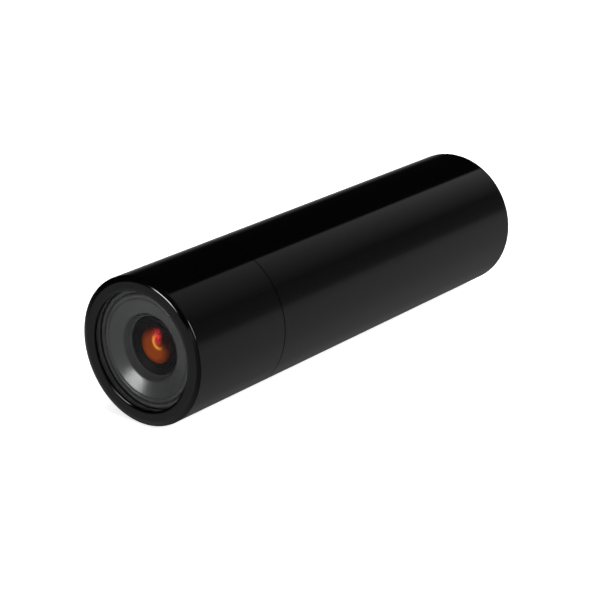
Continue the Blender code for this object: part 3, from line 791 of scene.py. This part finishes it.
def make_lens():
    """The lens barrel with its thread, the ring round the front glass, three elements and a stop."""
    front, back, radius = span("lens_barrel")
    root = radius - 0.28
    seat_radius, seat_station = 4.98, 9.2
    bore, rear_bore, stop_bore = 4.2, 4.0, 2.6
    thread_pitch = 0.5
    profile = [
        (seat_radius, front + 0.3),
        (radius - 0.3, front),
        (radius - 0.05, front + 0.06),
        (radius, front + 0.22),
        (radius, front + 1.6),
        (root, front + 1.9),
        (root, back - 0.4),
        (root - 0.3, back),
        (bore, back),
        (rear_bore, back - 0.6),
        (rear_bore, 15.2),
        (stop_bore, 14.4),
        (stop_bore, 12.4),
        (bore, 12.3),
        (bore, seat_station),
        (seat_radius, seat_station),
    ]

    def thread(bm):
        add_thread(bm, radius, root, front + 2.2, back - 0.7, thread_pitch, SMALL)

    obj = lathe("lens_barrel_m12", profile, MATERIALS["lens_black"], MEDIUM, extra=thread)
    settle(obj, "lens_barrel_body", "lens_black", "lens_barrel")

    ring = [(4.05, 5.8), (4.12, 5.74), (4.8, 5.44), (4.9, 5.46), (4.9, 6.6), (4.05, 6.3)]
    obj = lathe("lens_front_ring_black", rounded(ring, 0.05, 2), MATERIALS["lens_black"], MEDIUM)
    settle(obj, "lens_barrel_body", "lens_black", "lens_front_ring")

    front_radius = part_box("lens_front_element")[1].x / MM
    dome_edge, glass_back = 5.8, 6.2
    front_glass = [
        *cap_curve(front_radius, dome_edge, bulge=0.45),
        (front_radius, glass_back),
        (0, glass_back),
    ]
    obj = lathe("lens_front_glass", front_glass, MATERIALS["orange_glass"], MEDIUM)
    settle(obj, "lens_glass_body", "coated_glass", "lens_front_element")

    stop = [(1.9, 10.45), (2.2, 10.3), (4.15, 10.3), (4.15, 11.0), (2.2, 11.0)]
    obj = lathe("lens_stop_ring", stop, MATERIALS["lens_black"], MEDIUM)
    settle(obj, "lens_glass_body", "lens_black", "lens_aperture_stop")

    dome_radius, dome_edge, rim_radius, glass_back = 3.7, 8.6, 4.85, 9.15
    middle = [
        *cap_curve(dome_radius, dome_edge, bulge=2.2, steps=32),
        (rim_radius, dome_edge),
        (rim_radius, glass_back),
        (0, glass_back),
    ]
    obj = lathe("lens_middle_glass", middle, MATERIALS["coated_glass"], MEDIUM)
    settle(obj, "lens_glass_body", "coated_glass", "lens_middle_element")

    rear_radius, dome_edge = 3.9, 16.4
    rear = [
        *cap_curve(rear_radius, dome_edge, bulge=0.6),
        (rear_radius, 17.8),
        (2.4, 18.2),
        (0, 18.35),
    ]
    obj = lathe("lens_rear_glass", rear, MATERIALS["coated_glass"], MEDIUM)
    settle(obj, "lens_glass_body", "coated_glass", "lens_rear_element")


def make_lock_ring():
    """The ring that locks the lens, with two notches in its front."""
    front, back, radius = span("lens_lock_ring")
    inner = 6.1
    corners = rounded(block_section(inner, radius, front, back), 0.2, 3)
    obj = lathe("lens_lock_nut", corners, MATERIALS["inner_black"], MEDIUM)
    notch_inner, notch_outer, notch_half_width, notch_depth = 7.0, 8.5, 0.8, 1.1
    tools = []
    for side in (-1, 1):
        left, right = sorted((side * notch_inner, side * notch_outer))
        low = (left, front - 1, -notch_half_width)
        high = (right, front + notch_depth, notch_half_width)
        tools.append(box_piece(f"notch_tool_{side}", low, high, MATERIALS["inner_black"]))
    subtract(obj, tools)
    settle(obj, "lock_ring_body", "inner_black_metal", "lens_lock_ring")


# ---------------------------------------------------------------- rear end


def make_rear_cap():
    """The rear cap, with a hole for each socket, the light pipe and the two countersunk screws."""
    first, last, radius = span("rear_cap")
    black = MATERIALS["gloss_black"]
    chamfer, clear, pipe_hole, screw_hole, screw_head = 0.15, 0.15, 1.12, 0.98, 1.85
    before, after, head_seat = first - 1, last + 1, last - 1.2
    corners = [
        (0, first),
        (radius, first),
        (radius, last - chamfer),
        (radius - chamfer, last),
        (0, last),
    ]
    obj = lathe("rear_cap_plate", corners, black, MEDIUM)

    low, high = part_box("guide_port_socket")
    port_low = (low.x / MM - clear, before, low.z / MM - clear)
    port_high = (high.x / MM + clear, after, high.z / MM + clear)
    tools = [box_piece("port_tool", port_low, port_high, black)]

    low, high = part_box("usb_socket")
    half_height = (high.z - low.z) / 2 / MM + clear
    outline = slot_outline(high.x / MM + clear, half_height, (high.z + low.z) / 2 / MM)
    tools.append(prism_piece("usb_tool", outline, before, after, black))

    low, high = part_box("lamp_light_pipe")
    centre = ((low.x + high.x) / 2 / MM, (low.z + high.z) / 2 / MM)
    tools.append(prism_piece("pipe_tool", circle(pipe_hole, centre), before, after, black))

    for word in ("left", "right"):
        low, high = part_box(f"rear_cap_screw_{word}")
        centre = ((low.x + high.x) / 2 / MM, 0.0)
        for hole, start in ((screw_hole, before), (screw_head, head_seat)):
            name = f"screw_tool_{word}_{hole}"
            tools.append(prism_piece(name, circle(hole, centre), start, after, black))
    subtract(obj, tools)
    soften(obj, width=0.08)
    settle(obj, "camera_body", "black_anodised_shell", "rear_cap")


for maker in (make_front_barrel, make_main_tube, make_window_stack, make_shroud, make_lens,
              make_lock_ring, make_rear_cap):
    maker()

# The CAD nodes that stay as they are, by the material that they get
CARRIED = {
    "aluminium": ["front_bulkhead", "rear_bulkhead", "board_rail_left", "board_rail_right"],
    "steel": [
        "clock_crystal", "usb_socket", "board_spacer_1", "board_spacer_2", "board_spacer_3",
        "sensor_board_screw_1", "sensor_board_screw_2", "sensor_board_screw_3",
        "lens_holder_screw_left", "lens_holder_screw_right", "rail_screw_left",
        "rail_screw_right", "rear_cap_screw_left", "rear_cap_screw_right",
    ],
    "gold": ["guide_port_contacts"],
    "black_plastic": [
        "lens_holder", "guide_port_socket", "usb_tongue", "sensor_connector", "board_connector",
    ],
    "chip_plastic": ["processor_chip", "memory_chip"],
    "ferrite": ["power_inductor"],
    "ceramic": ["image_sensor"],
    "film": ["flex_cable"],
    "board": ["sensor_board", "main_board"],
    "light_guide": ["status_lamp", "lamp_light_pipe"],
    "window_glass": ["sensor_cover_glass", "ir_cut_filter"],
    "rubber": ["rear_gasket"],
}
for material_name, nodes in CARRIED.items():
    for node in nodes:
        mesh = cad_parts[node].data
        if not mesh.materials:
            mesh.materials.append(None)
        for index in range(len(mesh.materials)):
            mesh.materials[index] = MATERIALS[material_name]


# ---------------------------------------------------------------- stage, lights and camera

AZIMUTH, ELEVATION = math.radians(38.13), math.radians(20.28)
FOCAL_LENGTH = 113.74
# Metres from the middle of the object to the camera: backward, to the left and down
BACKWARD, LEFTWARD, DOWNWARD = 0.4217, 0.00302, 0.00508
FORWARD = Vector(
    (
        -math.sin(AZIMUTH) * math.cos(ELEVATION),
        math.cos(AZIMUTH) * math.cos(ELEVATION),
        -math.sin(ELEVATION),
    )
)
RIGHT = Vector((math.cos(AZIMUTH), math.sin(AZIMUTH), 0))
UP = RIGHT.cross(FORWARD)


def make_camera():
    """The camera stands at the front right, above the object, and looks along FORWARD."""
    middle = (cad_low + cad_high) / 2
    data = bpy.data.cameras.new("camera")
    data.lens = FOCAL_LENGTH
    data.clip_start = 0.01
    camera = bpy.data.objects.new("camera", data)
    camera.location = middle - BACKWARD * FORWARD - LEFTWARD * RIGHT - DOWNWARD * UP
    camera.rotation_euler = FORWARD.to_track_quat("-Z", "Y").to_euler()
    bpy.context.scene.collection.objects.link(camera)
    bpy.context.scene.camera = camera


def make_floor():
    """A white floor with a faint shadow, which glows to the camera, more so far left and right."""
    half_size, gap = 4.0, 0.0002
    middle_glow, side_glow = 0.8, 1.0
    # Millimetres from the middle
    middle_end, side_start = 300.0, 1200.0
    bm = bmesh.new()
    bmesh.ops.create_grid(bm, x_segments=1, y_segments=1, size=half_size)
    mesh = bpy.data.meshes.new("floor")
    bm.to_mesh(mesh)
    bm.free()
    floor = bpy.data.objects.new("floor", mesh)
    floor.location = (0, 0, FLOOR_Z - gap)
    floor.visible_glossy = False
    s = Shader("floor", (0.9, 0.9, 0.9), 0.9)
    s.put("Specular IOR Level", 0.0)
    s.put("Emission Color", (1, 1, 1, 1))
    path = s.node("ShaderNodeLightPath")
    # On the floor, which has no height of its own, this radius is the distance to the left or right.
    strength = s.spread(s.radius(), middle_glow, side_glow, middle_end, side_start)
    glow = s.math("MULTIPLY", path.outputs["Is Camera Ray"], strength)
    s.join(glow, s.surface.inputs["Emission Strength"])
    mesh.materials.append(s.material)
    bpy.context.scene.collection.objects.link(floor)


def area_light(name, direction, distance, size, power, mirrored):
    """A rectangular lamp that faces the origin. mirrored says if polished surfaces show it."""
    data = bpy.data.lights.new(name, "AREA")
    data.shape = "RECTANGLE"
    data.size, data.size_y = size
    data.energy = power
    lamp = bpy.data.objects.new(name, data)
    way = Vector(direction).normalized()
    lamp.location = way * distance
    lamp.rotation_euler = (-way).to_track_quat("-Z", "Y").to_euler()
    lamp.visible_glossy = mirrored
    lamp.visible_camera = False
    bpy.context.scene.collection.objects.link(lamp)


def make_lights():
    """Directions from the origin, then distances and sizes in metres, and powers in watts."""
    area_light("overhead", (0.1, 0.1, 1.0), 1.6, (1.6, 1.6), 22.0, False)
    area_light("front_fill", (0.42, -1.0, 0.2), 1.0, (0.6, 0.4), 2.8, False)
    area_light("key_box", (-0.388, -0.92, 0.054), 0.7, (0.15, 0.09), 0.74, True)
    area_light("right_box", (0.83, 0.30, 0.47), 0.8, (0.15, 0.32), 3.8, True)


def make_world():
    """White to the camera. Everything else sees greys that change round the optical axis.

    There is one set of greys for what lies in front of the object and one for the rest, and a soft
    box to the upper right.
    """
    world = bpy.data.worlds.new("studio")
    bpy.context.scene.world = world
    world.use_nodes = True
    tree = world.node_tree
    tree.nodes.clear()
    output = tree.nodes.new("ShaderNodeOutputWorld")

    def ramp(value, points):
        """A brightness that runs straight between (value, brightness) points."""
        low, high = points[0][0], points[-1][0]
        share = tree.nodes.new("ShaderNodeMapRange")
        share.inputs["From Min"].default_value = low
        share.inputs["From Max"].default_value = high
        tree.links.new(value, share.inputs["Value"])
        made = tree.nodes.new("ShaderNodeValToRGB")
        elements = made.color_ramp.elements
        while len(elements) < len(points):
            elements.new(0.5)
        for element, (place, level) in zip(elements, points):
            element.position = (place - low) / (high - low)
            element.color = (level, level, level, 1)
        tree.links.new(share.outputs[0], made.inputs[0])
        return made.outputs[0]

    coordinates = tree.nodes.new("ShaderNodeTexCoord")
    parts = tree.nodes.new("ShaderNodeSeparateXYZ")
    tree.links.new(coordinates.outputs["Generated"], parts.inputs[0])
    x, y, z = parts.outputs
    # Degrees round the optical axis, 0 at the right and 90 overhead
    turn = math_node(tree, "DEGREES", math_node(tree, "ARCTAN2", z, x))
    base = ramp(turn, [
        (-180, 0.07), (-175, 0.14), (-160, 0.34), (-149, 0.3), (-135, 0.17), (-127, 0.09),
        (-111, 0.17), (-95, 0.18), (-63, 0.29), (-31, 0.34), (-8, 0.36), (3, 0.3), (10, 0.14),
        (18, 0.1), (40, 0.07), (92, 0.02), (97, 0.004), (165, 0.005), (170, 0.012), (180, 0.07),
    ])
    front = ramp(turn, [
        (-180, 0.01), (-164, 0.02), (-157, 0.27), (-149, 0.3), (-131, 0.38), (-111, 0.31),
        (-95, 0.16), (-80, 0.08), (-40, 0.08), (20, 0.06), (92, 0.01), (180, 0.005),
    ])
    behind = ramp(y, [(-1, 0.0), (-0.35, 0.0), (-0.1, 1.0), (1, 1.0)])
    base = math_node(tree, "MULTIPLY", base, behind)
    front = math_node(tree, "MULTIPLY", front, math_node(tree, "SUBTRACT", 1.0, behind))
    greys = math_node(tree, "ADD", base, front)
    box = ramp(turn, [(-180, 0), (38, 0), (92, 0.36), (94, 0.0), (180, 0)])
    along = ramp(y, [(-1, 0.5), (0.6, 0.45), (0.667, 0.55), (0.8, 1.15), (1, 1.2)])
    total = math_node(tree, "ADD", greys, math_node(tree, "MULTIPLY", box, along))
    mirror = tree.nodes.new("ShaderNodeBackground")
    tree.links.new(total, mirror.inputs["Color"])
    plain = tree.nodes.new("ShaderNodeBackground")
    plain.inputs["Color"].default_value = (1, 1, 1, 1)
    path = tree.nodes.new("ShaderNodeLightPath")
    mix = tree.nodes.new("ShaderNodeMixShader")
    tree.links.new(path.outputs["Is Camera Ray"], mix.inputs[0])
    tree.links.new(mirror.outputs[0], mix.inputs[1])
    tree.links.new(plain.outputs[0], mix.inputs[2])
    tree.links.new(mix.outputs[0], output.inputs["Surface"])


make_camera()
make_floor()
make_lights()
make_world()
bpy.context.scene.view_settings.view_transform = "Standard"
